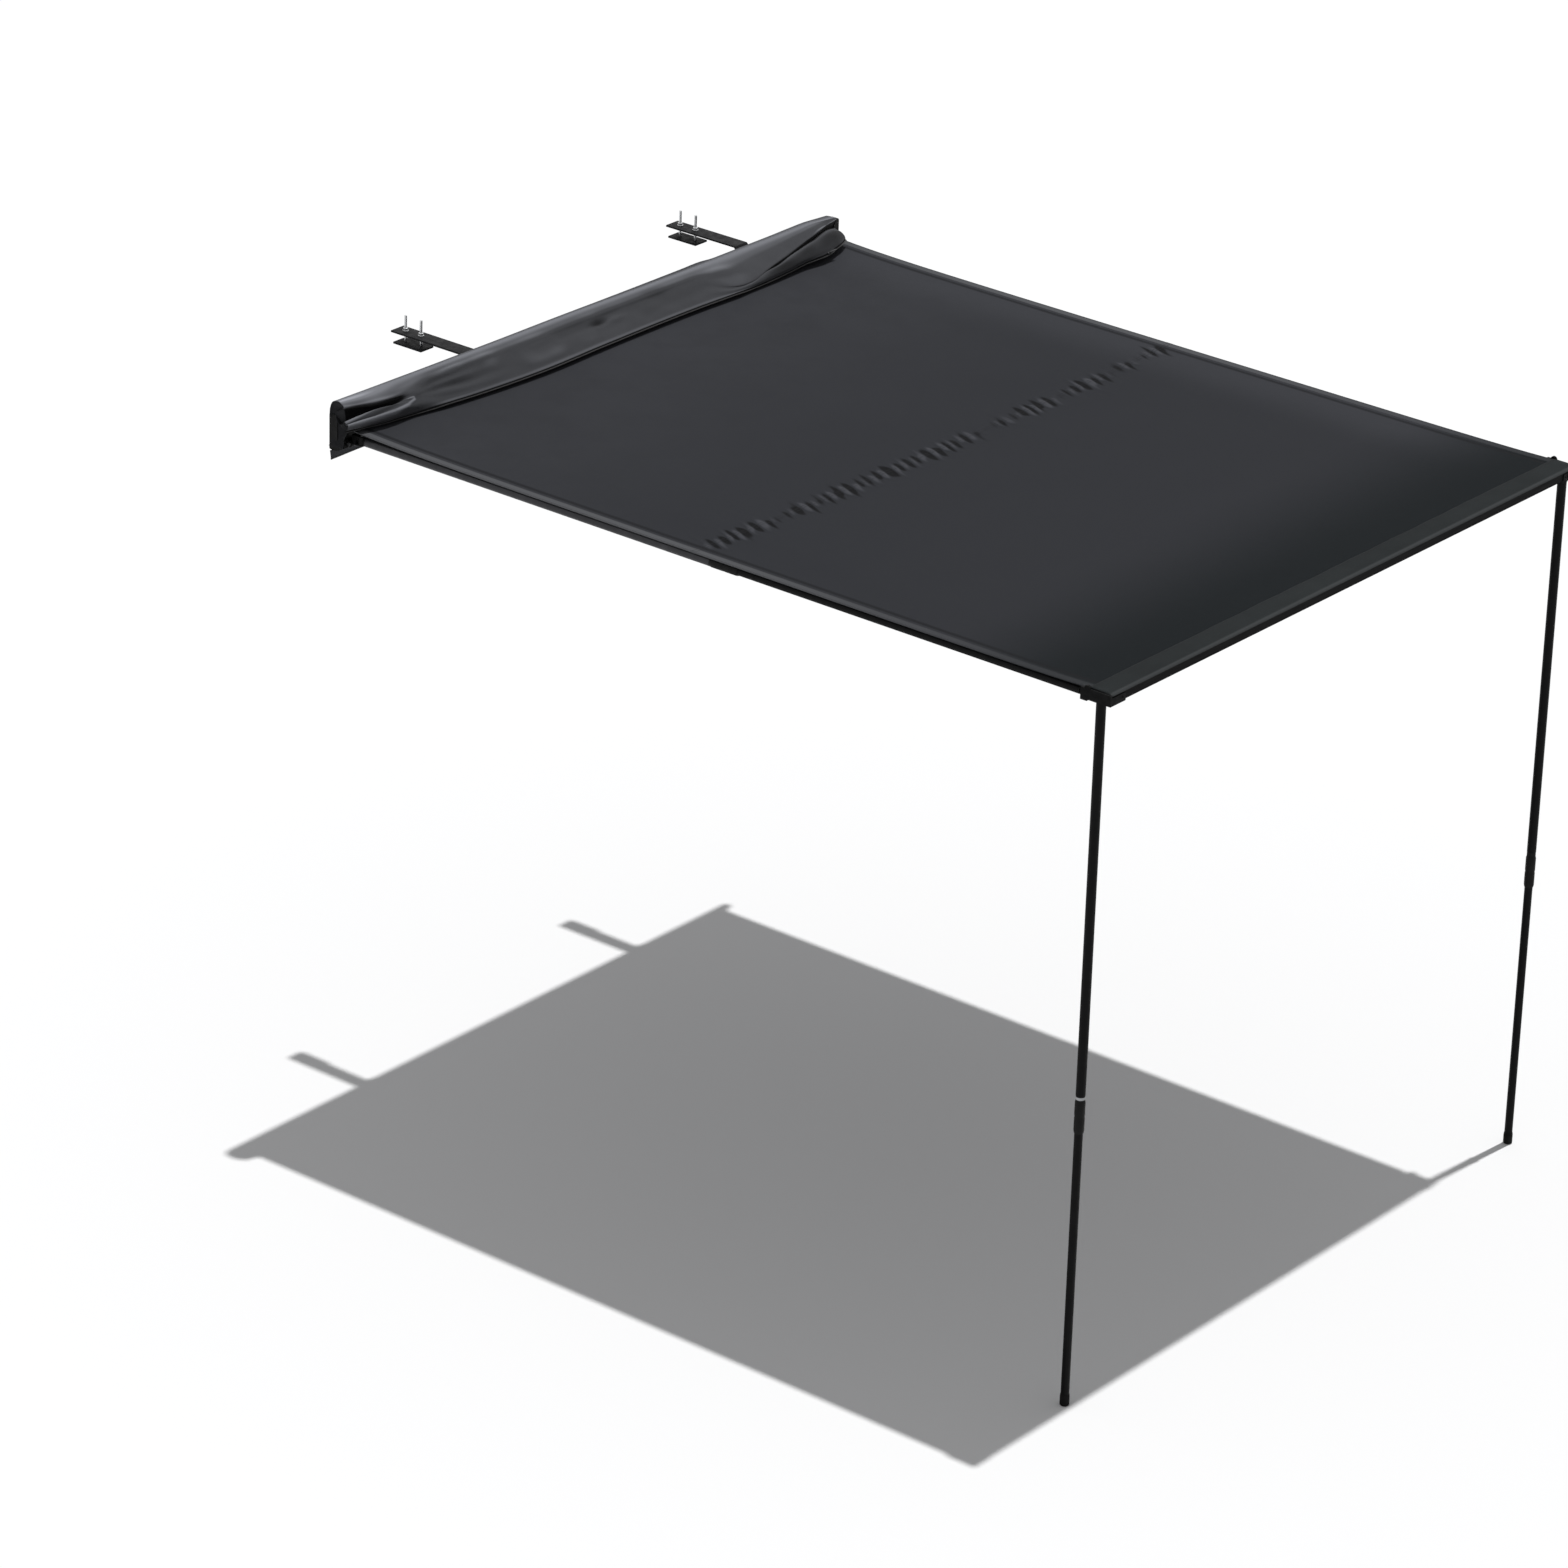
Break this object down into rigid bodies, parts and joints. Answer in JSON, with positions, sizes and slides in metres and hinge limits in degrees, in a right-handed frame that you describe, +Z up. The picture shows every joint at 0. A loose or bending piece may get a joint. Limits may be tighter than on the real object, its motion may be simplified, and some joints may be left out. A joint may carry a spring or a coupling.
{
  "type": "vehicle side awning",
  "caption": "Pull-out side awning for a vehicle's roof rack, open on telescopic legs, with a cloth canopy, sliding arms, a front beam and a soft cover thrown back over its rail.",
  "frame": {"origin": "middle of the rail's flat back face, where it faces the vehicle", "axes": "+X along the rail from its near end to its far end, -Y out from the vehicle along the arms, +Z up; the feet stand at z = -1.965 m"},
  "size_m": [2.0762, 2.7608, 2.078],
  "materials": {
    "rail_black": "black anodised, satin",
    "cast_black": "black powder coat, fine texture",
    "bracket_black": "black powder coat",
    "tube_black": "black coated, satin",
    "moulded_black": "moulded, matt",
    "steel": "zinc plated",
    "light_plastic": "moulded, light grey",
    "canopy_cloth": "coated woven cloth, charcoal",
    "cover_cloth": "coated heavy cloth, dark grey",
    "webbing": "woven webbing, black",
    "foot_rubber": "moulded, matt"
  },
  "bodies": {
    "rail_assembly": {"rail": "rail_black", "rail_end_cap_near": "moulded_black", "rail_end_cap_far": "moulded_black", "rack_bracket_near": "bracket_black", "rack_bracket_far": "bracket_black", "rack_clamp_plate_near": "bracket_black", "rack_clamp_plate_far": "bracket_black", "rail_bolt_near_1": "steel", "rail_bolt_near_2": "steel", "rail_bolt_far_1": "steel", "rail_bolt_far_2": "steel", "rack_bolt_near_1": "steel", "rack_bolt_near_2": "steel", "rack_bolt_far_1": "steel", "rack_bolt_far_2": "steel", "cover_top": "cover_cloth", "cover_bottom": "cover_cloth", "cover_end_near": "cover_cloth", "cover_end_far": "cover_cloth", "canopy_cord": "canopy_cloth", "arm_bracket_near": "cast_black", "arm_bracket_far": "cast_black", "tilt_pin_near": "steel", "tilt_pin_far": "steel", "storage_strap_near": "webbing", "storage_strap_far": "webbing"},
    "zip": {"zip_slider": "steel"},
    "awning_frame": {"canopy": "canopy_cloth", "swivel_block_near": "cast_black", "swivel_block_far": "cast_black", "swing_pin_near": "steel", "swing_pin_far": "steel"},
    "arm_near": {"arm_eye_near": "moulded_black", "arm_tube_near": "tube_black"},
    "arm_near_collar": {"arm_collar_near": "moulded_black"},
    "arm_near_inner": {"arm_inner_near": "tube_black", "arm_tip_near": "moulded_black"},
    "arm_far": {"arm_eye_far": "moulded_black", "arm_tube_far": "tube_black"},
    "arm_far_collar": {"arm_collar_far": "moulded_black"},
    "arm_far_inner": {"arm_inner_far": "tube_black", "arm_tip_far": "moulded_black"},
    "beam": {"front_beam": "rail_black", "corner_casting_near": "cast_black", "corner_casting_far": "cast_black", "leg_pivot_pin_near": "steel", "leg_pivot_pin_far": "steel", "canopy_front_wrap": "canopy_cloth"},
    "leg_near": {"leg_head_near": "moulded_black", "leg_tube_near": "tube_black", "leg_ring_near": "light_plastic"},
    "leg_near_collar": {"leg_collar_near": "moulded_black"},
    "leg_near_inner": {"leg_inner_near": "tube_black", "foot_near": "foot_rubber"},
    "leg_far": {"leg_head_far": "moulded_black", "leg_tube_far": "tube_black", "leg_ring_far": "light_plastic"},
    "leg_far_collar": {"leg_collar_far": "moulded_black"},
    "leg_far_inner": {"leg_inner_far": "tube_black", "foot_far": "foot_rubber"}
  },
  "joints": [
    {"name": "awning_tilt", "type": "hinge", "parent": "rail_assembly", "child": "awning_frame", "pos_m": [0, -0.042, -0.032], "axis": [-1, 0, 0], "range_deg": [0, 5]},
    {"name": "beam_level", "type": "hinge", "parent": "awning_frame", "child": "beam", "pos_m": [0, -2.4185, -0.032], "axis": [1, 0, 0], "range_deg": [0, 5]},
    {"name": "arm_near_swing", "type": "hinge", "parent": "awning_frame", "child": "arm_near", "pos_m": [-0.985, -0.075, -0.018], "axis": [0, 0, 1], "range_deg": [0, 90]},
    {"name": "arm_near_collar_twist", "type": "hinge", "parent": "arm_near", "child": "arm_near_collar", "pos_m": [-0.985, -1.295, -0.018], "axis": [0, -1, 0], "range_deg": [0, 90]},
    {"name": "arm_near_slide", "type": "slide", "parent": "arm_near", "child": "arm_near_inner", "axis": [0, 1, 0], "range_m": [0, 0.94]},
    {"name": "arm_far_swing", "type": "hinge", "parent": "awning_frame", "child": "arm_far", "pos_m": [0.985, -0.075, -0.046], "axis": [0, 0, -1], "range_deg": [0, 90]},
    {"name": "arm_far_collar_twist", "type": "hinge", "parent": "arm_far", "child": "arm_far_collar", "pos_m": [0.985, -1.295, -0.046], "axis": [0, -1, 0], "range_deg": [0, 90]},
    {"name": "arm_far_slide", "type": "slide", "parent": "arm_far", "child": "arm_far_inner", "axis": [0, 1, 0], "range_m": [0, 0.94]},
    {"name": "leg_near_fold", "type": "hinge", "parent": "beam", "child": "leg_near", "pos_m": [-0.97, -2.4495, -0.016], "axis": [0, -1, 0], "range_deg": [0, 90]},
    {"name": "leg_near_collar_twist", "type": "hinge", "parent": "leg_near", "child": "leg_near_collar", "pos_m": [-0.97, -2.4495, -1.15], "axis": [0, 0, -1], "range_deg": [0, 90]},
    {"name": "leg_near_slide", "type": "slide", "parent": "leg_near", "child": "leg_near_inner", "axis": [0, 0, 1], "range_m": [-0.2, 0.7]},
    {"name": "leg_far_fold", "type": "hinge", "parent": "beam", "child": "leg_far", "pos_m": [0.97, -2.4825, -0.016], "axis": [0, 1, 0], "range_deg": [0, 90]},
    {"name": "leg_far_collar_twist", "type": "hinge", "parent": "leg_far", "child": "leg_far_collar", "pos_m": [0.97, -2.4825, -1.15], "axis": [0, 0, -1], "range_deg": [0, 90]},
    {"name": "leg_far_slide", "type": "slide", "parent": "leg_far", "child": "leg_far_inner", "axis": [0, 0, 1], "range_m": [-0.2, 0.7]},
    {"name": "zip_slide", "type": "slide", "parent": "rail_assembly", "child": "zip", "axis": [-1, 0, 0], "range_m": [0, 1.68]}
  ],
  "couplings": [
    {"joint": "beam_level", "follows": "awning_tilt", "ratio": 1}
  ]
}
